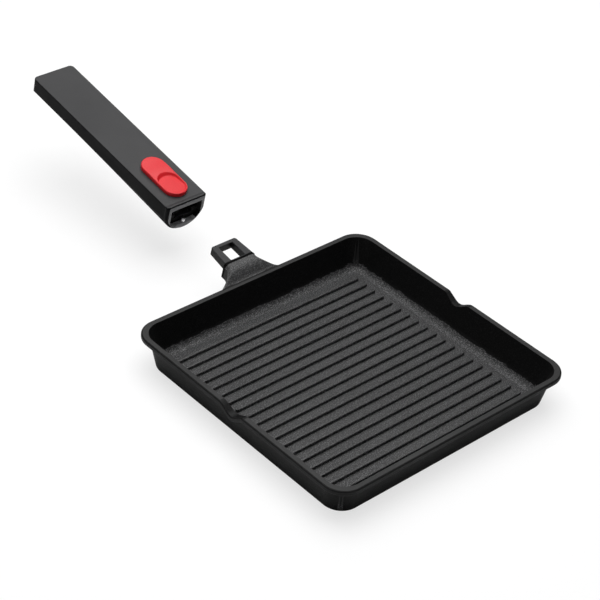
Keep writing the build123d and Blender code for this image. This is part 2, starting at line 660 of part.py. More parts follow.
# Stepped steel channel inside the mouth
with BuildPart() as socket_channel:
    with BuildSketch(station(MOUTH, BEZEL_DEPTH)):
        add(channel_outside(LINER_ROOF + LINER_SHEET))
        add(stepped(LINER_WIDTH, LINER_LOW_WIDTH, LINER_ROOF, LINER_SHOULDER, LINER_FLOOR), mode=Mode.SUBTRACT)
    extrude(amount=LINER_LENGTH)
    with BuildSketch(deck(MOUTH, LINER_FLOOR + 1)):
        with Locations((0, TOOTH_SLOT_AT)):
            RectangleRounded(TOOTH_WIDTH + 1.2, TOOTH_SLOT_LENGTH, 0.6)
    extrude(amount=-4, mode=Mode.SUBTRACT)
socket_channel.part.label = "socket_channel"
export_step(socket_channel.part, "parts/socket_channel.step")

# Stud on the floor of the mouth
with BuildPart() as mouth_stud:
    with BuildSketch(deck(MOUTH, MOUTH_BOTTOM)):
        with Locations((0, STUD_AT)):
            Circle(STUD_RADIUS)
    extrude(amount=STUD_HEIGHT)
    fillet(edges().group_by(Axis(MOUTH, UP))[-1], 0.9)
    with BuildSketch(deck(MOUTH, MOUTH_BOTTOM)):
        with Locations((0, STUD_AT)):
            Circle(STUD_SHANK_RADIUS)
    extrude(amount=-4)
mouth_stud.part.label = "mouth_stud"
export_step(mouth_stud.part, "parts/mouth_stud.step")

# Thumb button: a stadium with a dished front and a steep ridge behind the dish
button_bottom = GRIP_TOP + PLAY
with BuildPart() as thumb_button:
    with BuildSketch(deck(MOUTH, button_bottom)):
        with Locations((0, BUTTON_START + BUTTON_LENGTH / 2)):
            SlotOverall(BUTTON_LENGTH, BUTTON_WIDTH, rotation=90)
    extrude(amount=BUTTON_HEIGHT)
    fillet(edges().group_by(Axis(MOUTH, UP))[-1], BUTTON_EDGE)
    slope = radians(DISH_SLOPE)
    dish_start = MOUTH + AXIS * (BUTTON_START + DISH_RIM) + UP * (button_bottom + BUTTON_HEIGHT - DISH_FRONT_DEPTH)
    with BuildSketch(Plane(origin=dish_start, x_dir=X_DIR, z_dir=UP * cos(slope) + AXIS * sin(slope))):
        with Locations((0, DISH_LENGTH / 2)):
            SlotOverall(DISH_LENGTH, BUTTON_WIDTH - 2 * DISH_RIM, rotation=90)
    extrude(amount=6, mode=Mode.SUBTRACT)
    with BuildSketch(deck(MOUTH, button_bottom)):
        with Locations((0, BUTTON_SCREW_AT)):
            Circle(BUTTON_SCREW_RADIUS)
    extrude(amount=2, mode=Mode.SUBTRACT)
thumb_button.part.label = "thumb_button"
export_step(thumb_button.part, "parts/thumb_button.step")

# Carrier under the button: neck, sliding plate, the leg that presses the lever and the spring's tab
plate_bottom = CARRIER_PLATE_TOP - CARRIER_PLATE_THICKNESS
with BuildPart() as button_carrier:
    with BuildSketch(deck(MOUTH, plate_bottom)):
        with Locations((0, (NECK_START + TAB_START + TAB_THICKNESS) / 2)):
            Rectangle(CARRIER_PLATE_WIDTH, TAB_START + TAB_THICKNESS - NECK_START)
    extrude(amount=CARRIER_PLATE_THICKNESS)
    with BuildSketch(deck(MOUTH, CARRIER_PLATE_TOP)):
        with Locations((0, (NECK_START + NECK_END) / 2)):
            Rectangle(CARRIER_NECK_WIDTH, NECK_END - NECK_START)
    extrude(amount=button_bottom - CARRIER_PLATE_TOP)
    with BuildSketch(deck(MOUTH, plate_bottom)):
        with Locations((0, LEG_START + LEG_LENGTH / 2)):
            Rectangle(CARRIER_NECK_WIDTH, LEG_LENGTH)
    extrude(amount=LEG_BOTTOM - plate_bottom)
    with BuildSketch(station(MOUTH, TAB_START)):
        with Locations((0, (plate_bottom + TAB_BOTTOM) / 2)):
            Rectangle(TAB_WIDTH, plate_bottom - TAB_BOTTOM)
        with Locations((0, GUIDE_HEIGHT)):
            Circle(GUIDE_RADIUS + PLAY, mode=Mode.SUBTRACT)
    extrude(amount=TAB_THICKNESS)
    with BuildSketch(deck(MOUTH, plate_bottom)):
        with Locations((0, BUTTON_SCREW_AT)):
            Circle(BUTTON_SCREW_RADIUS + 0.05)
    extrude(amount=8, mode=Mode.SUBTRACT)
button_carrier.part.label = "button_carrier"
export_step(button_carrier.part, "parts/button_carrier.step")

# Screw that joins the button to its carrier
with BuildPart() as button_screw:
    with BuildSketch(deck(MOUTH, plate_bottom)):
        with Locations((0, BUTTON_SCREW_AT)):
            Circle(BUTTON_SCREW_HEAD_RADIUS)
    extrude(amount=-1.4)
    with BuildSketch(deck(MOUTH, plate_bottom)):
        with Locations((0, BUTTON_SCREW_AT)):
            Circle(BUTTON_SCREW_RADIUS)
    extrude(amount=button_bottom + 1.8 - plate_bottom)
button_screw.part.label = "button_screw"
export_step(button_screw.part, "parts/button_screw.step")


def lever_frame(along, height, turn):
    """A point of the grip's side view, seen from the lever after it has turned down by some degrees."""
    across = along - PIVOT_AT
    above = height - PIVOT_HEIGHT
    c = cos(radians(turn))
    s = sin(radians(turn))
    return across * c + above * s, above * c - across * s


def ramp_point(share):
    """Where the ramp has to be, a working gap under the leg's front edge, at a share of its travel."""
    x, y = lever_frame(LEG_START + BUTTON_TRAVEL * (1 - share), LEG_BOTTOM, LEVER_TURN * share)
    return x, y - 0.42


# Latch lever: tooth in front, ramp under the leg, hub on the pin and a tail for the spring
pivot = MOUTH + AXIS * PIVOT_AT + UP * PIVOT_HEIGHT
released = radians(TILT + LEVER_TURN)
lever_side = Plane(origin=pivot, x_dir=(0, cos(released), sin(released)), z_dir=X_DIR)
tooth_rear = WINDOW_END - TOOTH_PLAY - SEATED_GAP - PIVOT_AT
tooth_front = tooth_rear - TOOTH_LENGTH
tooth_top = TOOTH_TOP - PIVOT_HEIGHT
with BuildPart() as latch_lever:
    with BuildSketch(lever_side):
        with BuildLine():
            high, middle, low = ramp_point(1), ramp_point(0.5), ramp_point(0)
            ThreePointArc(low, middle, high)
            Line(high, (high[0] - 1.5, high[1]))
            Line((high[0] - 1.5, high[1]), (high[0] - 1.5, LEVER_HALF_THICKNESS))
            Line((high[0] - 1.5, LEVER_HALF_THICKNESS), (tooth_front, LEVER_HALF_THICKNESS))
            Line((tooth_front, LEVER_HALF_THICKNESS), (tooth_front, -LEVER_HALF_THICKNESS))
            Line((tooth_front, -LEVER_HALF_THICKNESS), (LEVER_TAIL, -LEVER_HALF_THICKNESS))
            Line((LEVER_TAIL, -LEVER_HALF_THICKNESS), (LEVER_TAIL, LEVER_HALF_THICKNESS))
            Line((LEVER_TAIL, LEVER_HALF_THICKNESS), (low[0] + 1, LEVER_HALF_THICKNESS))
            Line((low[0] + 1, LEVER_HALF_THICKNESS), low)
        make_face()
        Circle(LEVER_HUB_RADIUS)
        Circle(PIN_RADIUS + PIN_PLAY, mode=Mode.SUBTRACT)
    extrude(amount=LEVER_WIDTH / 2, both=True)
    with BuildSketch(lever_side):
        with BuildLine():
            Polyline(
                (tooth_front, 0), (tooth_rear, 0), (tooth_rear, tooth_top), (tooth_front + 2, tooth_top),
                (tooth_front, tooth_top - 1.6), close=True,
            )
        make_face()
    extrude(amount=TOOTH_WIDTH / 2, both=True)
latch_lever.part.label = "latch_lever"
export_step(latch_lever.part, "parts/latch_lever.step")

# Cross pin that the lever turns on
with BuildPart() as lever_pin:
    with BuildSketch(Plane(origin=pivot, x_dir=AXIS, z_dir=X_DIR)):
        Circle(PIN_RADIUS)
    extrude(amount=PIN_LENGTH / 2, both=True)
lever_pin.part.label = "lever_pin"
export_step(lever_pin.part, "parts/lever_pin.step")

# Pin that guides the button's spring
with BuildPart() as spring_guide:
    with BuildSketch(station(MOUTH, SPRING_RIB_AT)):
        with Locations((0, GUIDE_HEIGHT)):
            Circle(GUIDE_HEAD_RADIUS)
    extrude(amount=-1.2)
    with BuildSketch(station(MOUTH, SPRING_RIB_AT)):
        with Locations((0, GUIDE_HEIGHT)):
            Circle(GUIDE_RADIUS)
    extrude(amount=TAB_START + TAB_THICKNESS + BUTTON_TRAVEL + 1.5 - SPRING_RIB_AT)
spring_guide.part.label = "spring_guide"
export_step(spring_guide.part, "parts/spring_guide.step")

# Spring that pushes the button's tab back, away from the rib
button_spring_start = SPRING_RIB_AT + SPRING_RIB_THICKNESS + WIRE_RADIUS + 0.05
button_spring_length = TAB_START - button_spring_start - WIRE_RADIUS - 0.05
with BuildPart() as button_spring:
    with BuildLine() as button_coil:
        Helix(
            pitch=button_spring_length / BUTTON_SPRING_TURNS, height=button_spring_length,
            radius=SPRING_RADIUS, center=MOUTH + AXIS * button_spring_start + UP * GUIDE_HEIGHT, direction=AXIS,
        )
    with BuildSketch(Plane(origin=button_coil.line @ 0, z_dir=button_coil.line % 0)):
        Circle(WIRE_RADIUS)
    sweep(path=button_coil.line, is_frenet=True)
button_spring.part.label = "button_spring"
export_step(button_spring.part, "parts/button_spring.step")

# Spring that pushes the lever's tail down and so lifts its tooth
turned = radians(LEVER_TURN)
tail_top = PIVOT_HEIGHT + LATCH_SPRING_AT * sin(turned) + LEVER_HALF_THICKNESS / cos(turned)
latch_spring_start = tail_top + SPRING_RADIUS * sin(turned) + WIRE_RADIUS + 0.05
latch_spring_length = LATCH_SEAT - latch_spring_start - WIRE_RADIUS - 0.05
with BuildPart() as latch_spring:
    with BuildLine() as latch_coil:
        Helix(
            pitch=latch_spring_length / LATCH_SPRING_TURNS, height=latch_spring_length, radius=SPRING_RADIUS,
            center=MOUTH + AXIS * (PIVOT_AT + LATCH_SPRING_AT) + UP * latch_spring_start, direction=UP,
        )
    with BuildSketch(Plane(origin=latch_coil.line @ 0, z_dir=latch_coil.line % 0)):
        Circle(WIRE_RADIUS)
    sweep(path=latch_coil.line, is_frenet=True)
latch_spring.part.label = "latch_spring"
export_step(latch_spring.part, "parts/latch_spring.step")
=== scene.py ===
import math

import bmesh
import bpy
from mathutils import Matrix, Vector


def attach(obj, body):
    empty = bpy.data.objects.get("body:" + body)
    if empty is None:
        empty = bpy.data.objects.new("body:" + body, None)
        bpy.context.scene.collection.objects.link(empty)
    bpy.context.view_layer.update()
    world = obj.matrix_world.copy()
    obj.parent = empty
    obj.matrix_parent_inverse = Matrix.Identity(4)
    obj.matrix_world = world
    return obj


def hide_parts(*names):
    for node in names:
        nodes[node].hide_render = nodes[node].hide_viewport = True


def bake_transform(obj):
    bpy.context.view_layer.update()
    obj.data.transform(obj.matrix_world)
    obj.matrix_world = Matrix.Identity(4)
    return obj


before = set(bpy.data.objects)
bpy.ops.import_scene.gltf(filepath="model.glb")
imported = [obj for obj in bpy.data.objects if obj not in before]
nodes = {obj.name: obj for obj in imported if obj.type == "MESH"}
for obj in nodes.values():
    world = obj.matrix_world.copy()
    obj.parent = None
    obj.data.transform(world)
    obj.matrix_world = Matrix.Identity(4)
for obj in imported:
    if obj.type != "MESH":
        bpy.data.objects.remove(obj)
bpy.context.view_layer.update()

# Sizes of the pan, in metres
FLOOR_TOP = 0.0032
RIB_COUNT = 19
RIB_PITCH = 0.01032
RIB_LENGTH = 0.1926
RIB_WIDTH = 0.0036
RIB_HEIGHT = 0.00248
RIB_SUNK = 0.0006
# How far in each ring of a rib's outline is, and its share of the height
RIB_RINGS = (
    (0.0, -RIB_SUNK / RIB_HEIGHT), (0.0, 0.0), (0.0002, 0.8),
    (0.00026, 0.91), (0.00038, 0.98), (0.00056, 1.0),
)
CAVITY_REACH = 0.1085
CAVITY_BOTTOM = 0.003
NECK_START = 0.1195
NECK_HALF_WIDTH = 0.06
NECK_BOTTOM = 0.024

# The rim's sharp inner edge: how far it runs from the middles of the corners' arcs, and its heights
RIM_CORNER = 0.0991
RIM_EDGE_NEAR = 0.0148
RIM_EDGE_FAR = 0.0166
RIM_EDGE_LOW = 0.0232
RIM_EDGE_HIGH = 0.0306
RIM_ROUND = 0.0022

# The frames of the lug and of the grip: distances along the tilted axis, heights over the neck's top
TILT = math.radians(10.0)
LEAN = (TILT, 0.0, 0.0)
AXIS = Vector((0, math.cos(TILT), math.sin(TILT)))
UP = Vector((0, -math.sin(TILT), math.cos(TILT)))
LUG = Vector((0, 0.133, 0.0403))
MOUTH = LUG + AXIS * 0.0708

# Thumb button
BUTTON_START = 0.008
BUTTON_LENGTH = 0.050
BUTTON_WIDTH = 0.0215
BUTTON_BASE = 0.0057
BUTTON_HEIGHT = 0.004
DISH_RIM = 0.0010
DISH_LENGTH = 0.0275
DISH_FRONT = 0.0003
DISH_DEPTH = 0.0029
DISH_WALL = 0.0011
DISH_REAR_WALL = 0.0037
RIDGE_BEHIND_DISH = 0.005
RIDGE_SPREAD = 0.006
RIDGE_RISE = 0.0004
BUTTON_CROWN = 0.0004
BUTTON_ROUND = 0.0008
BUTTON_TOP_RINGS = 40

# Mouth of the grip: the bezel's front plate and shelf, the opening in it, and its outer edges
PLATE_DEPTH = 0.0004
SHELF_DEPTH = 0.0039
SHELF_TOP = -0.0165
CHANNEL_FLOOR = -0.0105
OPENING_HALF_WIDTH = 0.0162
OPENING_TOP = 0.0046
BEZEL_TOP = 0.0053
BEZEL_BOTTOM = -0.0176
BEZEL_REAR = 0.0045

# Springs and screws
SPRING_RADIUS = 0.0026
WIRE_RADIUS = 0.00035
SCREW_PITCH = 0.0005
THREAD_DEPTH = 0.00012
HEAD_ROUND = 0.0005
HEAD_EASE = 0.00015
CIRCLE_STEPS = 40

# Share of a face's normal along a direction from which it counts as facing that way
FACING = 0.9
LOOP_FACING = 0.5
GRIP_FACING = 0.6

# Stage
FLOOR_REACH = 6.0
FLOOR_DROP = 0.0004
FLOOR_GLOW = 0.70
WORLD_LIGHT = 0.10
CAMERA_PLACE = Vector((-0.83249, -0.78904, 0.90835))
CAMERA_BACK = Vector((-0.56574, -0.57761, 0.58848))
CAMERA_RIGHT = Vector((0.74855, -0.65908, 0.07271))
CAMERA_LENS = 113.034


def in_grip(across, behind, height):
    """A point of the grip's frame in the row frame."""
    return MOUTH + Vector((across, 0, 0)) + AXIS * behind + UP * height


def in_lug(across, along, height):
    """A point of the lug's frame in the row frame."""
    return LUG + Vector((across, 0, 0)) + AXIS * along + UP * height


def grip_matrix(behind, height):
    """Local X across, Y along the grip and Z out of its top."""
    place = in_grip(0, behind, height)
    turn = Matrix((Vector((1, 0, 0)), AXIS, UP)).transposed().to_4x4()
    return Matrix.Translation(place) @ turn


def nodes_of(tree):
    """Empties a tree and gives the function that adds a node to it, with its settings and values."""
    tree.nodes.clear()

    def add(kind, **values):
        node = tree.nodes.new(kind)
        for key, value in values.items():
            if key.startswith("in_"):
                name = key[3:]
                socket = node.inputs[int(name)] if name.isdigit() else node.inputs[name.replace("_", " ")]
                socket.default_value = value
            else:
                setattr(node, key, value)
        return node

    return add


def shader_group(name, inputs, outputs):
    """An empty shader group with named sockets: floats unless a socket's kind is given."""
    group = bpy.data.node_groups.new(name, "ShaderNodeTree")
    for label, kind, default in inputs:
        socket = group.interface.new_socket(label, in_out="INPUT", socket_type=kind)
        socket.default_value = default
    for label, kind in outputs:
        group.interface.new_socket(label, in_out="OUTPUT", socket_type=kind)
    return group


FLOAT = "NodeSocketFloat"


def speckle_group():
    """Fine pale and dark flecks of a sprayed coating, with the height that they stand proud."""
    group = shader_group(
        "coating_flecks",
        [("Flecks per metre", FLOAT, 1400.0), ("Pale share", FLOAT, 0.5), ("Dark share", FLOAT, 0.5)],
        [("Pale", FLOAT), ("Dark", FLOAT), ("Height", FLOAT)],
    )
    add = nodes_of(group)
    link = group.links.new
    start = add("NodeGroupInput")
    end = add("NodeGroupOutput")
    place = add("ShaderNodeTexCoord")
    fine = add("ShaderNodeTexNoise", in_Detail=3.0, in_Roughness=0.62)
    link(place.outputs["Object"], fine.inputs["Vector"])
    link(start.outputs["Flecks per metre"], fine.inputs["Scale"])
    cells = add("ShaderNodeTexVoronoi", in_Randomness=1.0)
    link(place.outputs["Object"], cells.inputs["Vector"])
    link(start.outputs["Flecks per metre"], cells.inputs["Scale"])
    for share, output, low in (("Pale share", "Pale", False), ("Dark share", "Dark", True)):
        edge = add("ShaderNodeMapRange", interpolation_type="SMOOTHSTEP")
        if low:
            edge.inputs["To Min"].default_value = 1.0
            edge.inputs["To Max"].default_value = 0.0
        slope, middle = (0.22, 0.36) if low else (-0.22, 0.66)
        span = add("ShaderNodeMath", operation="MULTIPLY_ADD", in_1=slope, in_2=middle)
        wide = add("ShaderNodeMath", operation="ADD", in_1=0.07)
        link(start.outputs[share], span.inputs[0])
        link(span.outputs[0], edge.inputs["From Min"])
        link(span.outputs[0], wide.inputs[0])
        link(wide.outputs[0], edge.inputs["From Max"])
        link(fine.outputs["Fac"], edge.inputs["Value"])
        link(edge.outputs["Result"], end.inputs[output])
    height = add("ShaderNodeMath", operation="SUBTRACT")
    link(fine.outputs["Fac"], height.inputs[0])
    link(cells.outputs["Distance"], height.inputs[1])
    link(height.outputs[0], end.inputs["Height"])
    return group


def patches_group():
    """Slow changes of tone over a surface, from handling and from the mould."""
    group = shader_group(
        "slow_patches",
        [("Patches per metre", FLOAT, 18.0), ("Low", FLOAT, 0.4), ("High", FLOAT, 0.6)],
        [("Value", FLOAT)],
    )
    add = nodes_of(group)
    link = group.links.new
    start = add("NodeGroupInput")
    end = add("NodeGroupOutput")
    place = add("ShaderNodeTexCoord")
    slow = add("ShaderNodeTexNoise", in_Detail=4.0, in_Roughness=0.55)
    spread = add("ShaderNodeMapRange", in_1=0.32, in_2=0.68)
    link(place.outputs["Object"], slow.inputs["Vector"])
    link(start.outputs["Patches per metre"], slow.inputs["Scale"])
    link(slow.outputs["Fac"], spread.inputs["Value"])
    link(start.outputs["Low"], spread.inputs["To Min"])
    link(start.outputs["High"], spread.inputs["To Max"])
    link(spread.outputs["Result"], end.inputs["Value"])
    return group


def grain_group():
    """Fine pebble grain of moulded plastic or satin paint, as a height."""
    group = shader_group(
        "moulded_grain",
        [("Grains per metre", FLOAT, 2600.0)],
        [("Height", FLOAT), ("Tone", FLOAT)],
    )
    add = nodes_of(group)
    link = group.links.new
    start = add("NodeGroupInput")
    end = add("NodeGroupOutput")
    place = add("ShaderNodeTexCoord")
    cells = add("ShaderNodeTexVoronoi", feature="SMOOTH_F1", in_Smoothness=0.6)
    dust = add("ShaderNodeTexNoise", in_Detail=2.0)
    for texture in (cells, dust):
        link(place.outputs["Object"], texture.inputs["Vector"])
        link(start.outputs["Grains per metre"], texture.inputs["Scale"])
    link(cells.outputs["Distance"], end.inputs["Height"])
    link(dust.outputs["Fac"], end.inputs["Tone"])
    return group


FLECKS = speckle_group()
PATCHES = patches_group()
GRAIN = grain_group()


def new_material(name):
    """A material with only a Principled BSDF and its output in it."""
    material = bpy.data.materials.new(name)
    material.use_nodes = True
    tree = material.node_tree
    add = nodes_of(tree)
    shader = add("ShaderNodeBsdfPrincipled")
    output = add("ShaderNodeOutputMaterial")
    tree.links.new(shader.outputs[0], output.inputs["Surface"])
    return material, tree, add, shader


def placed(tree, group, **values):
    """A shader group in a material, with this material's own values."""
    node = tree.nodes.new("ShaderNodeGroup")
    node.node_tree = group
    for key, value in values.items():
        node.inputs[key.replace("_", " ")].default_value = value
    return node


def mixed(tree, factor, first, second):
    """A colour between two, by a mask; each is a colour or a socket."""
    mix = tree.nodes.new("ShaderNodeMix")
    mix.data_type = "RGBA"
    for socket, value in ((mix.inputs[0], factor), (mix.inputs[6], first), (mix.inputs[7], second)):
        if hasattr(value, "is_output"):
            tree.links.new(value, socket)
        elif isinstance(value, tuple):
            socket.default_value = (*value, 1.0)
        else:
            socket.default_value = value
    return mix.outputs[2]


def bumped(tree, shader, height, strength, distance):
    bump = tree.nodes.new("ShaderNodeBump")
    bump.inputs["Strength"].default_value = strength
    bump.inputs["Distance"].default_value = distance
    tree.links.new(height, bump.inputs["Height"])
    tree.links.new(bump.outputs["Normal"], shader.inputs["Normal"])


def coating_material(name, base, pale, dark, rough, pale_share=0.55, dark_share=0.6, spec=0.4, painted_shade_heights=None):
    """Sprayed non-stick coating over cast metal: a dark ground with pale and black flecks.

    Between the two heights given it darkens into painted shade: the even near-black of the cavity's walls,
    where shade falls.
    """
    material, tree, add, shader = new_material(name)
    flecks = placed(tree, FLECKS, Flecks_per_metre=1250.0, Pale_share=pale_share, Dark_share=dark_share)
    patches = placed(tree, PATCHES, Patches_per_metre=14.0, Low=rough - 0.05, High=rough + 0.07)
    tone = placed(tree, PATCHES, Patches_per_metre=9.0, Low=0.0, High=0.35)
    ground = mixed(tree, tone.outputs["Value"], base, tuple(v * 1.25 for v in base))
    with_dark = mixed(tree, flecks.outputs["Dark"], ground, dark)
    colour = mixed(tree, flecks.outputs["Pale"], with_dark, pale)
    # Painted shade: over these heights the colour turns to the dark flecks' near-black.
    if painted_shade_heights:
        place = add("ShaderNodeTexCoord")
        split = add("ShaderNodeSeparateXYZ")
        climb = add("ShaderNodeMapRange", interpolation_type="SMOOTHSTEP")
        climb.inputs["From Min"].default_value, climb.inputs["From Max"].default_value = painted_shade_heights
        tree.links.new(place.outputs["Object"], split.inputs[0])
        tree.links.new(split.outputs["Z"], climb.inputs["Value"])
        colour = mixed(tree, climb.outputs["Result"], colour, dark)
    tree.links.new(colour, shader.inputs["Base Color"])
    tree.links.new(patches.outputs["Value"], shader.inputs["Roughness"])
    shader.inputs["Specular IOR Level"].default_value = spec
    bumped(tree, shader, flecks.outputs["Height"], strength=0.35, distance=0.00022)
    return material


def moulded_material(name, base, rough, grains, bump, spec=0.45):
    """Satin plastic or paint with a fine grain, and a slow change of gloss from handling."""
    material, tree, add, shader = new_material(name)
    grain = placed(tree, GRAIN, Grains_per_metre=grains)
    patches = placed(tree, PATCHES, Patches_per_metre=22.0, Low=rough - 0.05, High=rough + 0.06)
    darker, lighter = tuple(v * 0.8 for v in base), tuple(v * 1.22 for v in base)
    colour = mixed(tree, grain.outputs["Tone"], darker, lighter)
    tree.links.new(colour, shader.inputs["Base Color"])
    tree.links.new(patches.outputs["Value"], shader.inputs["Roughness"])
    shader.inputs["Specular IOR Level"].default_value = spec
    bumped(tree, shader, grain.outputs["Height"], strength=bump, distance=0.0001)
    return material


def metal_material(name, base, rough, stretch=(1.0, 1.0, 1.0)):
    """Bare metal with fine lines, drawn out where a direction is stretched less than the others."""
    material, tree, add, shader = new_material(name)
    place = add("ShaderNodeTexCoord")
    mapping = add("ShaderNodeMapping")
    mapping.inputs["Scale"].default_value = stretch
    lines = add("ShaderNodeTexNoise", in_Scale=900.0, in_Detail=4.0)
    spread = add("ShaderNodeMapRange", in_1=0.35, in_2=0.65, in_3=rough - 0.08, in_4=rough + 0.1)
    tree.links.new(place.outputs["Object"], mapping.inputs["Vector"])
    tree.links.new(mapping.outputs["Vector"], lines.inputs["Vector"])
    tree.links.new(lines.outputs["Fac"], spread.inputs["Value"])
    tree.links.new(spread.outputs["Result"], shader.inputs["Roughness"])
    colour = mixed(tree, lines.outputs["Fac"], tuple(v * 0.82 for v in base), base)
    tree.links.new(colour, shader.inputs["Base Color"])
    shader.inputs["Metallic"].default_value = 1.0
    bumped(tree, shader, lines.outputs["Fac"], strength=0.12, distance=0.00005)
    return material


def turned_material(name, base, rough):
    """Steel plate brushed in circles about the pan's middle."""
    material, tree, add, shader = new_material(name)
    place = add("ShaderNodeTexCoord")
    rings = add("ShaderNodeTexWave", wave_type="RINGS", rings_direction="Z", in_Scale=320.0)
    rings.inputs["Distortion"].default_value = 1.6
    rings.inputs["Detail"].default_value = 3.0
    rings.inputs["Detail Scale"].default_value = 40.0
    spread = add("ShaderNodeMapRange", in_3=rough - 0.06, in_4=rough + 0.1)
    tree.links.new(place.outputs["Object"], rings.inputs["Vector"])
    tree.links.new(rings.outputs["Fac"], spread.inputs["Value"])
    tree.links.new(spread.outputs["Result"], shader.inputs["Roughness"])
    colour = mixed(tree, rings.outputs["Fac"], tuple(v * 0.85 for v in base), base)
    tree.links.new(colour, shader.inputs["Base Color"])
    shader.inputs["Metallic"].default_value = 1.0
    bumped(tree, shader, rings.outputs["Fac"], strength=0.1, distance=0.00004)
    return material


FLECK_PALE = (0.11, 0.11, 0.113)
FLECK_DARK = (0.004, 0.004, 0.004)
# The cavity's coating: its walls above the floor get painted shade.
pan_coating = coating_material(
    "pan_coating", (0.03, 0.03, 0.031), FLECK_PALE, FLECK_DARK, 0.55, painted_shade_heights=(0.0048, 0.0145),
)
# Painted light: a lighter copy of the pan's coating for the neck's upward faces, where the lamps light it.
neck_coating = coating_material(
    "neck_coating", (0.056, 0.056, 0.057), (0.105, 0.105, 0.107), (0.026, 0.026, 0.026), 0.55,
)
# Painted shade: a near-black copy of the pan's coating for the rim and outside, which face away from the
# lamps.
side_coating = coating_material(
    "side_coating", (0.004, 0.004, 0.004), (0.012, 0.012, 0.012), (0.002, 0.002, 0.002), 0.5,
    pale_share=0.4, dark_share=0.5, spec=0.14,
)
base_steel = turned_material("base_plate_steel", (0.58, 0.58, 0.59), 0.3)
# Moulded and painted: base colour, roughness, grains per metre, strength of the bump
seal_black = moulded_material("seal_rubber", (0.0015, 0.0015, 0.0015), 0.7, 1500.0, 0.05, spec=0.04)
loop_paint = moulded_material("loop_satin_paint", (0.019, 0.019, 0.020), 0.48, 2400.0, 0.25, spec=0.25)
# Painted shade: a darker copy of the loop's paint for its sides.
loop_painted_shade = moulded_material("loop_side_paint", (0.004, 0.004, 0.0045), 0.42, 2400.0, 0.25, spec=0.1)
grip_satin = moulded_material("grip_top_satin", (0.031, 0.031, 0.032), 0.5, 2600.0, 0.22, spec=0.25)
# Painted shade: a darker copy of the grip's satin plastic for its sides, its belly and the bezel's sides.
grip_painted_shade = moulded_material("grip_side_satin", (0.0015, 0.0015, 0.0018), 0.5, 2600.0, 0.22, spec=0.05)
bezel_grey = moulded_material("bezel_paint", (0.12, 0.12, 0.123), 0.45, 2400.0, 0.15, spec=0.4)
# Painted shade: near-black for the inside of the mouth and the socket channel, where shade falls.
mouth_painted_shade = moulded_material("mouth_inside", (0.003, 0.003, 0.003), 0.7, 2000.0, 0.1, spec=0.1)
channel_steel = metal_material("channel_steel", (0.5, 0.5, 0.505), 0.4, (1.0, 0.08, 0.08))
button_red = moulded_material("button_red", (0.60, 0.013, 0.019), 0.42, 1800.0, 0.05, spec=0.35)
carrier_plastic = moulded_material("carrier_plastic", (0.035, 0.035, 0.036), 0.5, 2000.0, 0.2)
screw_steel = metal_material("screw_steel", (0.62, 0.62, 0.63), 0.28)
spring_steel = metal_material("spring_wire", (0.55, 0.55, 0.56), 0.2)

finishes = {
    "pan_casting": pan_coating,
    "base_plate": base_steel,
    "lug_seal": seal_black,
    "lug_loop": loop_paint,
    "lug_screws": screw_steel,
    "grip_top": grip_satin,
    "grip_belly": grip_painted_shade,
    "mouth_bezel": bezel_grey,
    "mouth_stud": screw_steel,
    "socket_channel": channel_steel,
    "thumb_button": button_red,
    "button_carrier": carrier_plastic,
    "button_screw": screw_steel,
    "button_spring": spring_steel,
    "spring_guide": screw_steel,
    "latch_lever": channel_steel,
    "lever_pin": screw_steel,
    "latch_spring": spring_steel,
    "shell_screws": screw_steel,
}
for node_name, finish in finishes.items():
    mesh = nodes[node_name].data
    mesh.materials.clear()
    mesh.materials.append(finish)


def new_piece(name, mesh, body, material=None):
    """A finished mesh as a piece on a body, at the origin."""
    piece = bpy.data.objects.new(name, mesh)
    bpy.context.scene.collection.objects.link(piece)
    if material is not None:
        mesh.materials.clear()
        mesh.materials.append(material)
    if body is not None:
        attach(piece, body)
    return piece


def mesh_from(name, build):
    """Runs a builder on an empty bmesh and keeps the result."""
    work = bmesh.new()
    build(work)
    bmesh.ops.remove_doubles(work, verts=work.verts, dist=1e-7)
    bmesh.ops.recalc_face_normals(work, faces=work.faces)
    mesh = bpy.data.meshes.new(name)
    work.to_mesh(mesh)
    work.free()
    return mesh


def smooth(mesh, angle):
    """Smooth shading, with edges sharper than so many degrees kept hard."""
    for face in mesh.polygons:
        face.use_smooth = True
    mesh.set_sharp_from_angle(angle=math.radians(angle))


def stadium(length, width, segments, straights=1):
    """Outline of a slot along X, about its middle, with its straight sides in so many runs."""
    half = width / 2
    reach = max(length / 2 - half, 0.0)
    points = []
    for side, start in ((1, -90), (-1, 90)):
        for step in range(segments + 1):
            angle = math.radians(start + 180 * step / segments)
            points.append(Vector((side * reach + half * math.cos(angle), half * math.sin(angle))))
        for step in range(1, straights):
            points.append(Vector((side * reach * (1 - 2 * step / straights), side * half)))
    return points


def bridge(work, rings, close_end=True):
    """Quads between rings of the same count, closed by a face at its start and, if asked for, at its end."""
    loops = [[work.verts.new(point) for point in ring] for ring in rings]
    count = len(loops[0])
    for low, high in zip(loops, loops[1:]):
        for k in range(count):
            work.faces.new((low[k], low[(k + 1) % count], high[(k + 1) % count], high[k]))
    work.faces.new(loops[0])
    if close_end:
        work.faces.new(loops[-1])


def rib_bar(work):
    """One cast rib along X: leaning sides, a flat top with eased edges, and round ends."""
    rings = []
    for inset, share in RIB_RINGS:
        outline = stadium(RIB_LENGTH - 2 * inset, RIB_WIDTH - 2 * inset, 8)
        rings.append([(p.x, p.y, share * RIB_HEIGHT) for p in outline])
    bridge(work, rings)


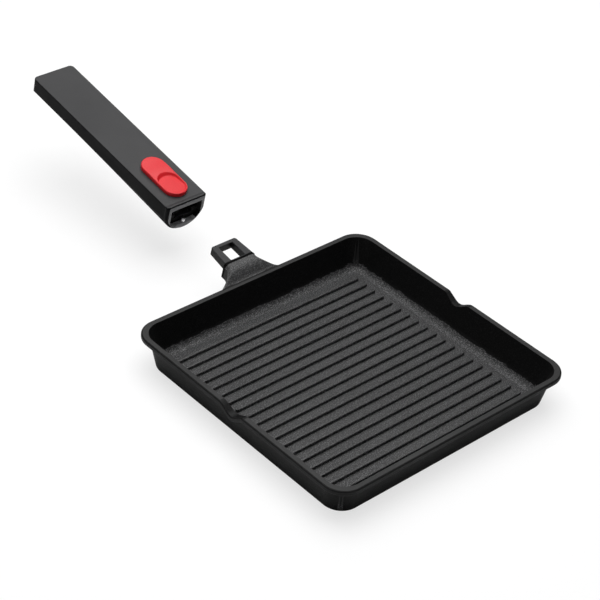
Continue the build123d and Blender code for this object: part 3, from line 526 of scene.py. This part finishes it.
def geometry_tree(name, inputs):
    """An empty geometry tree with named inputs, and the function that adds nodes to it."""
    tree = bpy.data.node_groups.new(name, "GeometryNodeTree")
    tree.interface.new_socket("Geometry", in_out="OUTPUT", socket_type="NodeSocketGeometry")
    for label, kind, default in inputs:
        socket = tree.interface.new_socket(label, in_out="INPUT", socket_type=kind)
        if default is not None:
            socket.default_value = default
    return tree, nodes_of(tree)


VECTOR = "NodeSocketVector"
INTEGER = "NodeSocketInt"


def with_finish(tree, add, start, geometry):
    """Ends a tree: its instances are made real and get their finish."""
    link = tree.links.new
    real = add("GeometryNodeRealizeInstances")
    finish = add("GeometryNodeSetMaterial")
    end = add("NodeGroupOutput")
    link(geometry, real.inputs["Geometry"])
    link(real.outputs["Geometry"], finish.inputs["Geometry"])
    link(start.outputs["Finish"], finish.inputs["Material"])
    link(finish.outputs["Geometry"], end.inputs["Geometry"])
    return tree


def row_tree():
    """Repeats one part in a straight row."""
    tree, add = geometry_tree(
        "row_of_parts",
        [
            ("Part", "NodeSocketObject", None), ("Count", INTEGER, 2), ("First place", VECTOR, (0, 0, 0)),
            ("Step", VECTOR, (0, 0, 0)), ("Finish", "NodeSocketMaterial", None),
        ],
    )
    link = tree.links.new
    start = add("NodeGroupInput")
    row = add("GeometryNodeMeshLine", mode="OFFSET")
    part = add("GeometryNodeObjectInfo", transform_space="ORIGINAL")
    copies = add("GeometryNodeInstanceOnPoints")
    link(start.outputs["Count"], row.inputs["Count"])
    link(start.outputs["First place"], row.inputs["Start Location"])
    link(start.outputs["Step"], row.inputs["Offset"])
    link(start.outputs["Part"], part.inputs["Object"])
    link(row.outputs["Mesh"], copies.inputs["Points"])
    link(part.outputs["Geometry"], copies.inputs["Instance"])
    return with_finish(tree, add, start, copies.outputs["Instances"])


def coil_tree():
    """A wire spring: a helix swept with a round wire."""
    tree, add = geometry_tree(
        "wire_coil",
        [
            ("Turns", FLOAT, 6.0), ("Coil radius", FLOAT, 0.0026), ("Length", FLOAT, 0.01),
            ("Wire radius", FLOAT, 0.0004), ("Place", VECTOR, (0, 0, 0)), ("Turn", VECTOR, (0, 0, 0)),
            ("Finish", "NodeSocketMaterial", None),
        ],
    )
    link = tree.links.new
    start = add("NodeGroupInput")
    helix = add("GeometryNodeCurveSpiral", in_Resolution=28)
    wire = add("GeometryNodeCurvePrimitiveCircle", mode="RADIUS", in_Resolution=10)
    sweep = add("GeometryNodeCurveToMesh", in_Fill_Caps=True)
    put = add("GeometryNodeTransform")
    link(start.outputs["Turns"], helix.inputs["Rotations"])
    link(start.outputs["Coil radius"], helix.inputs["Start Radius"])
    link(start.outputs["Coil radius"], helix.inputs["End Radius"])
    link(start.outputs["Length"], helix.inputs["Height"])
    link(start.outputs["Wire radius"], wire.inputs["Radius"])
    link(helix.outputs["Curve"], sweep.inputs["Curve"])
    link(wire.outputs["Curve"], sweep.inputs["Profile Curve"])
    link(sweep.outputs["Mesh"], put.inputs["Geometry"])
    link(start.outputs["Place"], put.inputs["Translation"])
    link(start.outputs["Turn"], put.inputs["Rotation"])
    return with_finish(tree, add, start, put.outputs["Geometry"])


def places_tree():
    """Puts one part at each point of a set of places."""
    tree, add = geometry_tree(
        "parts_at_places",
        [
            ("Part", "NodeSocketObject", None), ("Places", "NodeSocketObject", None),
            ("Turn", VECTOR, (0, 0, 0)), ("Finish", "NodeSocketMaterial", None),
        ],
    )
    link = tree.links.new
    start = add("NodeGroupInput")
    part = add("GeometryNodeObjectInfo", transform_space="ORIGINAL")
    points = add("GeometryNodeObjectInfo", transform_space="ORIGINAL")
    copies = add("GeometryNodeInstanceOnPoints")
    link(start.outputs["Part"], part.inputs["Object"])
    link(start.outputs["Places"], points.inputs["Object"])
    link(points.outputs["Geometry"], copies.inputs["Points"])
    link(part.outputs["Geometry"], copies.inputs["Instance"])
    link(start.outputs["Turn"], copies.inputs["Rotation"])
    return with_finish(tree, add, start, copies.outputs["Instances"])


ROW = row_tree()
PLACES = places_tree()
COIL = coil_tree()


def grown(name, tree, body, **values):
    """Runs a geometry tree with named inputs and keeps its result as a plain piece."""
    carrier = bpy.data.objects.new(name + "_maker", bpy.data.meshes.new(name + "_maker"))
    bpy.context.scene.collection.objects.link(carrier)
    modifier = carrier.modifiers.new("maker", "NODES")
    modifier.node_group = tree
    labels = {
        item.name: item.identifier for item in tree.interface.items_tree
        if item.item_type == "SOCKET" and item.in_out == "INPUT"
    }
    for key, value in values.items():
        modifier[labels[key.replace("_", " ")]] = value
    bpy.context.view_layer.update()
    seen = carrier.evaluated_get(bpy.context.evaluated_depsgraph_get())
    mesh = bpy.data.meshes.new_from_object(seen)
    mesh.name = name
    bpy.data.objects.remove(carrier)
    smooth(mesh, 40)
    return new_piece(name, mesh, body)


def part_object(name, build):
    """A part to be repeated; it is removed once its row is made."""
    part = bpy.data.objects.new(name, mesh_from(name, build))
    bpy.context.scene.collection.objects.link(part)
    return part


# Ribs of the grill floor
rib = part_object("one_rib", rib_bar)
grown(
    "grill_ribs", ROW, "pan", Part=rib, Count=RIB_COUNT,
    First_place=(0.0, -RIB_PITCH * (RIB_COUNT - 1) / 2, FLOOR_TOP), Step=(0.0, RIB_PITCH, 0.0),
    Finish=pan_coating,
)
bpy.data.objects.remove(rib)


def finished_copy(node, body, name, edge=0.0, rim=False):
    """A CAD node's surface with its triangles joined and shaded smoothly; sharp edges may be eased."""
    work = bmesh.new()
    work.from_mesh(nodes[node].data)
    bmesh.ops.remove_doubles(work, verts=work.verts, dist=2e-6)
    if edge or rim:
        bmesh.ops.dissolve_limit(work, angle_limit=math.radians(0.4), verts=work.verts, edges=work.edges)
    if rim:
        inner = [e for e in work.edges if on_inner_rim(e)]
        bmesh.ops.bevel(
            work, geom=inner, offset=RIM_ROUND, segments=5, profile=0.5, affect="EDGES", clamp_overlap=True,
        )
    mesh = bpy.data.meshes.new(name)
    work.to_mesh(mesh)
    work.free()
    smooth(mesh, 30)
    holder = bpy.data.objects.new("holder", mesh)
    bpy.context.scene.collection.objects.link(holder)
    if edge:
        bevel = holder.modifiers.new("eased_edges", "BEVEL")
        bevel.width = edge
        bevel.segments = 3
        bevel.limit_method = "ANGLE"
        bevel.angle_limit = math.radians(40)
        bevel.harden_normals = True
    weights = holder.modifiers.new("weights", "WEIGHTED_NORMAL")
    weights.keep_sharp = True
    bpy.context.view_layer.update()
    result = bpy.data.meshes.new_from_object(holder.evaluated_get(bpy.context.evaluated_depsgraph_get()))
    result.name = name
    bpy.data.objects.remove(holder)
    piece = new_piece(result.name, result, body, finishes[node])
    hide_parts(node)
    return piece


def on_inner_rim(edge):
    """Whether an edge is the sharp one between the rim's top and the cavity's wall."""
    if len(edge.link_faces) != 2:
        return False
    turn = edge.calc_face_angle(0.0)
    middle = (edge.verts[0].co + edge.verts[1].co) / 2
    if turn < math.radians(50) or not RIM_EDGE_LOW <= middle.z <= RIM_EDGE_HIGH:
        return False
    across = max(abs(middle.x) - RIM_CORNER, 0.0)
    along = max(abs(middle.y) - RIM_CORNER, 0.0)
    return RIM_EDGE_NEAR < math.hypot(across, along) < RIM_EDGE_FAR


def finish_faces(piece, extra, choose):
    """Gives each face the finish that choose picks from its middle and its normal: 0 is the piece's own."""
    for finish in extra:
        piece.data.materials.append(finish)
    for face in piece.data.polygons:
        face.material_index = choose(Vector(face.center), Vector(face.normal))


def pan_finish(place, normal):
    """The cavity keeps the flecked coating; the neck's upward faces get a lighter copy as painted light, and
    the rim and outside a near-black copy as painted shade.
    """
    if max(abs(place.x), abs(place.y)) < CAVITY_REACH and place.z > CAVITY_BOTTOM:
        return 0
    # Slot 1 is painted light on the neck's upward faces, slot 2 painted shade on the rim and outside.
    on_neck = place.y > NECK_START and abs(place.x) < NECK_HALF_WIDTH and place.z > NECK_BOTTOM
    return 1 if on_neck and normal.z > 0.1 else 2


def bezel_finish(place, normal):
    """A grey plate and shelf, a top that carries on the grip's, and painted shade: dark sides and a
    near-black inside.
    """
    place = place - MOUTH
    behind, height = place.dot(AXIS), place.dot(UP)
    forward, upward = -normal.dot(AXIS), normal.dot(UP)
    plate = forward > FACING and behind < PLATE_DEPTH
    shelf = upward > FACING and height < SHELF_TOP and behind < SHELF_DEPTH
    if plate or shelf:
        return 0
    if upward > FACING and height > BEZEL_TOP:
        return 1
    # Slot 2 is painted shade on the bezel's sides, slot 3 near-black painted shade inside the opening.
    beside = abs(place.x) > OPENING_HALF_WIDTH or height > OPENING_TOP or height < BEZEL_BOTTOM
    return 2 if beside or behind > BEZEL_REAR else 3


pan_body = finished_copy("pan_casting", "pan", "pan_body", rim=True)
# The neck gets painted light and the rim and outside painted shade, as copies of the pan's coating.
finish_faces(pan_body, (neck_coating, side_coating), pan_finish)
# The loop's sides get the darker copy of its paint as painted shade.
finish_faces(
    finished_copy("lug_loop", "pan", "lug_loop_skin", edge=0.0004), (loop_painted_shade,),
    lambda place, normal: 0 if normal.dot(UP) > LOOP_FACING else 1,
)
finished_copy("lug_seal", "pan", "lug_seal_skin", edge=0.0005)
# The grip's sides get the darker copy of its plastic as painted shade.
finish_faces(
    finished_copy("grip_top", "handle", "grip_top_skin"), (grip_painted_shade,),
    lambda place, normal: 0 if normal.dot(UP) > GRIP_FACING else 1,
)
# The belly gets the grip's painted shade all over.
finished_copy("grip_belly", "handle", "grip_belly_skin")
finished_copy("base_plate", "pan", "base_plate_skin")
# The channel's faces other than its floor get painted shade.
finish_faces(
    finished_copy("socket_channel", "handle", "socket_channel_skin"), (mouth_painted_shade,),
    lambda place, normal: 0 if normal.dot(UP) > FACING and (place - MOUTH).dot(UP) < CHANNEL_FLOOR else 1,
)
finished_copy("mouth_stud", "handle", "mouth_stud_skin", edge=0.0003)
finished_copy("button_carrier", "button", "button_carrier_skin", edge=0.0003)
finished_copy("latch_lever", "latch", "latch_lever_skin")
finished_copy("lever_pin", "handle", "lever_pin_skin", edge=0.0003)
finished_copy("spring_guide", "handle", "spring_guide_skin", edge=0.0002)
bezel = finished_copy("mouth_bezel", "handle", "mouth_bezel_skin")
finish_faces(bezel, (grip_satin, grip_painted_shade, mouth_painted_shade), bezel_finish)


# Thumb button
def button_top(x, t):
    """Height of the button's top over its base: a dish in front, and a ridge behind its sloping wall."""
    half = BUTTON_WIDTH / 2 - DISH_RIM
    nose = max(DISH_RIM + half - t, 0.0)
    tail = max(t - (DISH_RIM + DISH_LENGTH - half), 0.0)
    away = math.hypot(x, nose + tail)
    depth = 0.0
    if away < half:
        share = max(min((t - DISH_RIM) / DISH_LENGTH, 1.0), 0.0)
        floor = DISH_FRONT + (DISH_DEPTH - DISH_FRONT) * share
        rearward = tail / away if away > 0 else 0.0
        reach = DISH_WALL + (DISH_REAR_WALL - DISH_WALL) * rearward ** 2
        blend = min((half - away) / reach, 1.0)
        depth = floor * blend * blend * (3 - 2 * blend)
    ridge = RIDGE_RISE * math.exp(-((t - DISH_LENGTH - RIDGE_BEHIND_DISH) / RIDGE_SPREAD) ** 2)
    crown = BUTTON_CROWN * (x / (BUTTON_WIDTH / 2)) ** 2
    return BUTTON_HEIGHT - RIDGE_RISE + ridge - depth - crown


def thumb_cap(work):
    """The button as one closed form: a rounded skirt and a top made of rings that shrink to its middle."""
    matrix = grip_matrix(BUTTON_START + BUTTON_LENGTH / 2, BUTTON_BASE)

    def ring(inset, under_top=0.0, level=None):
        """The outline set in by so much, under the button's top or at a level over its base."""
        points = []
        for p in stadium(BUTTON_LENGTH - 2 * inset, BUTTON_WIDTH - 2 * inset, 36, 64):
            top = button_top(p.y, p.x + BUTTON_LENGTH / 2)
            points.append(matrix @ Vector((-p.y, p.x, top - under_top if level is None else level)))
        return points

    rings = [ring(0.0, level=level) for level in (0.0, 0.001, 0.002)]
    for step in range(7):
        angle = math.radians(15 * step)
        rings.append(ring(BUTTON_ROUND * (1 - math.cos(angle)), BUTTON_ROUND * (1 - math.sin(angle))))
    for step in range(1, BUTTON_TOP_RINGS + 1):
        rings.append(ring(BUTTON_ROUND + (BUTTON_WIDTH / 2 - BUTTON_ROUND) * step / BUTTON_TOP_RINGS))
    bridge(work, rings, close_end=False)


cap_mesh = mesh_from("thumb_cap", thumb_cap)
smooth(cap_mesh, 50)
thumb = new_piece("thumb_cap", cap_mesh, "button", button_red)
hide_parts("thumb_button")


# Springs
def coil_at(name, node, body, turns, behind, height, along_grip, length):
    """A wire spring in the place of its node; without a body it is attached to none."""
    place = in_grip(0, behind, height)
    turn = (TILT - math.pi / 2, 0.0, 0.0) if along_grip else LEAN
    piece = grown(
        name, COIL, body, Turns=float(turns), Coil_radius=SPRING_RADIUS, Length=length,
        Wire_radius=WIRE_RADIUS, Place=tuple(place), Turn=turn, Finish=spring_steel,
    )
    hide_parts(node)
    return piece


button_coil = coil_at(
    "button_coil", "button_spring", None,
    turns=6, behind=0.05285, height=-0.0045, along_grip=True, length=0.01275,
)
coil_at(
    "latch_coil", "latch_spring", "handle",
    turns=4, behind=0.082, height=-0.0092, along_grip=False, length=0.0078,
)
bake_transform(button_coil)


# Screws
def circle(radius, z):
    turns = [math.tau * k / CIRCLE_STEPS for k in range(CIRCLE_STEPS)]
    return [Vector((radius * math.cos(turn), radius * math.sin(turn), z)) for turn in turns]


def screw_builder(head_radius, head, shank_radius, length):
    """A screw along Z: a head with a cross recess below its seat at 0, and a grooved shank above it."""
    def build(work):
        arm, wide, deep = head_radius * 0.62, head_radius * 0.17, head * 0.6
        corners = ((arm, wide), (wide, wide), (wide, arm), (-wide, arm), (-wide, wide), (-arm, wide))
        cross = [Vector((x, y, -head)) for x, y in corners] + [Vector((-x, -y, -head)) for x, y in corners]
        face_edges = []
        for outline in (circle(head_radius - HEAD_ROUND, -head), cross):
            verts = [work.verts.new(p) for p in outline]
            face_edges.append([work.edges.new((a, b)) for a, b in zip(verts, verts[1:] + verts[:1])])
            if outline is cross:
                low = [work.verts.new((v.co.x * 0.8, v.co.y * 0.8, v.co.z + deep)) for v in verts]
                for k in range(len(verts)):
                    work.faces.new((verts[k], verts[k - 1], low[k - 1], low[k]))
                work.faces.new(low)
        bmesh.ops.triangle_fill(work, use_beauty=True, edges=face_edges[0] + face_edges[1])
        rings = [
            circle(head_radius - HEAD_ROUND, -head), circle(head_radius - HEAD_EASE, -head + HEAD_EASE),
            circle(head_radius, -head + HEAD_ROUND), circle(head_radius, 0.0), circle(shank_radius, 0.0),
        ]
        for step in range(int(length / SCREW_PITCH) - 1):
            rings.append(circle(shank_radius - (THREAD_DEPTH if step % 2 else 0.0), SCREW_PITCH * (step + 1)))
        rings.append(circle(shank_radius * 0.8, length))
        loops = [[work.verts.new(p) for p in ring] for ring in rings]
        for low, high in zip(loops, loops[1:]):
            for k in range(len(low)):
                work.faces.new((low[k - 1], low[k], high[k], high[k - 1]))
        work.faces.new(loops[-1])

    return build


def screws_at(name, node, body, places, build):
    """A node's screws as one piece: the same screw at each of its places."""
    part = part_object(name + "_one", build)
    spots = bpy.data.meshes.new(name + "_spots")
    spots.from_pydata([tuple(p) for p in places], [], [])
    spot_object = bpy.data.objects.new(name + "_spots", spots)
    bpy.context.scene.collection.objects.link(spot_object)
    piece = grown(name, PLACES, body, Part=part, Places=spot_object, Turn=LEAN, Finish=screw_steel)
    bpy.data.objects.remove(part)
    bpy.data.objects.remove(spot_object)
    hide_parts(node)


shell_places = [in_grip(0, behind, -0.0136) for behind in (0.096, 0.139, 0.181)]
shell_screw = screw_builder(head_radius=0.0026, head=0.002, shank_radius=0.0015, length=0.013)
screws_at("shell_screw_set", "shell_screws", "handle", shell_places, shell_screw)
lug_places = [in_lug(across, -0.005, -0.011) for across in (-0.0055, 0.0055)]
lug_screw = screw_builder(head_radius=0.0028, head=0.002, shank_radius=0.0015, length=0.0066)
screws_at("lug_screw_set", "lug_screws", "pan", lug_places, lug_screw)
button_place = [in_grip(0, 0.0433, 0.0011)]
button_screw = screw_builder(head_radius=0.002, head=0.0014, shank_radius=0.0012, length=0.0064)
screws_at("button_screw_piece", "button_screw", "button", button_place, button_screw)


# Camera at the photograph's angle
camera_data = bpy.data.cameras.new("camera")
camera_data.lens = CAMERA_LENS
camera_data.sensor_width = 36.0
camera_data.clip_start = 0.05
camera_data.clip_end = 30.0
camera = bpy.data.objects.new("camera", camera_data)
bpy.context.scene.collection.objects.link(camera)
back = CAMERA_BACK.normalized()
right = (CAMERA_RIGHT - back * CAMERA_RIGHT.dot(back)).normalized()
camera_turn = Matrix((right, back.cross(right), back)).transposed().to_4x4()
camera.matrix_world = Matrix.Translation(CAMERA_PLACE) @ camera_turn
bpy.context.scene.camera = camera


# Floor, world and lamps
def stage_floor():
    """A white floor that glows a little for the camera, and lies just under the pan's base."""
    floor_mesh = bpy.data.meshes.new("studio_floor")
    corners = [(x * FLOOR_REACH, y * FLOOR_REACH, 0) for x, y in ((-1, -1), (1, -1), (1, 1), (-1, 1))]
    floor_mesh.from_pydata(corners, [], [(0, 1, 2, 3)])
    floor = bpy.data.objects.new("studio_floor", floor_mesh)
    bpy.context.scene.collection.objects.link(floor)
    floor.location.z = -FLOOR_DROP
    material = bpy.data.materials.new("floor_white")
    material.use_nodes = True
    tree = material.node_tree
    add = nodes_of(tree)
    paint = add("ShaderNodeBsdfDiffuse", in_Color=(0.86, 0.86, 0.86, 1.0))
    shine = add("ShaderNodeEmission", in_Color=(1.0, 1.0, 1.0, 1.0), in_Strength=1.0)
    path = add("ShaderNodeLightPath")
    share = add("ShaderNodeMath", operation="MULTIPLY", in_1=FLOOR_GLOW)
    mix = add("ShaderNodeMixShader")
    output = add("ShaderNodeOutputMaterial")
    tree.links.new(path.outputs["Is Camera Ray"], share.inputs[0])
    tree.links.new(share.outputs[0], mix.inputs[0])
    tree.links.new(paint.outputs[0], mix.inputs[1])
    tree.links.new(shine.outputs[0], mix.inputs[2])
    tree.links.new(mix.outputs[0], output.inputs["Surface"])
    floor_mesh.materials.append(material)


def studio_world():
    """White to the camera and dim as a light, so that the lamps shape the object."""
    world = bpy.data.worlds.new("studio")
    bpy.context.scene.world = world
    world.use_nodes = True
    tree = world.node_tree
    add = nodes_of(tree)
    path = add("ShaderNodeLightPath")
    dim = add("ShaderNodeBackground", in_Color=(0.95, 0.97, 1.0, 1.0), in_Strength=WORLD_LIGHT)
    white = add("ShaderNodeBackground", in_Color=(1.0, 1.0, 1.0, 1.0), in_Strength=1.0)
    mix = add("ShaderNodeMixShader")
    output = add("ShaderNodeOutputWorld")
    tree.links.new(path.outputs["Is Camera Ray"], mix.inputs[0])
    tree.links.new(dim.outputs[0], mix.inputs[1])
    tree.links.new(white.outputs[0], mix.inputs[2])
    tree.links.new(mix.outputs[0], output.inputs["Surface"])


def lamp(name, place, aim, size, power):
    data = bpy.data.lights.new(name, "AREA")
    data.shape = "RECTANGLE"
    data.size, data.size_y = size
    data.energy = power
    light = bpy.data.objects.new(name, data)
    bpy.context.scene.collection.objects.link(light)
    turn_to_aim = (Vector(aim) - Vector(place)).to_track_quat("-Z", "Y").to_matrix().to_4x4()
    light.matrix_world = Matrix.Translation(Vector(place)) @ turn_to_aim


stage_floor()
studio_world()
lamp("soft_box_behind", (0.75, 1.0, 1.2), (0, 0.05, 0), (1.2, 0.8), 4)
lamp("soft_box_above", (0.1, 0.25, 1.7), (0, 0.05, 0), (1.9, 1.9), 44)
lamp("soft_box_left", (-1.5, 0.6, 0.5), (0, 0.1, 0.03), (0.7, 0.5), 1.5)

bpy.context.scene.view_settings.view_transform = "Standard"
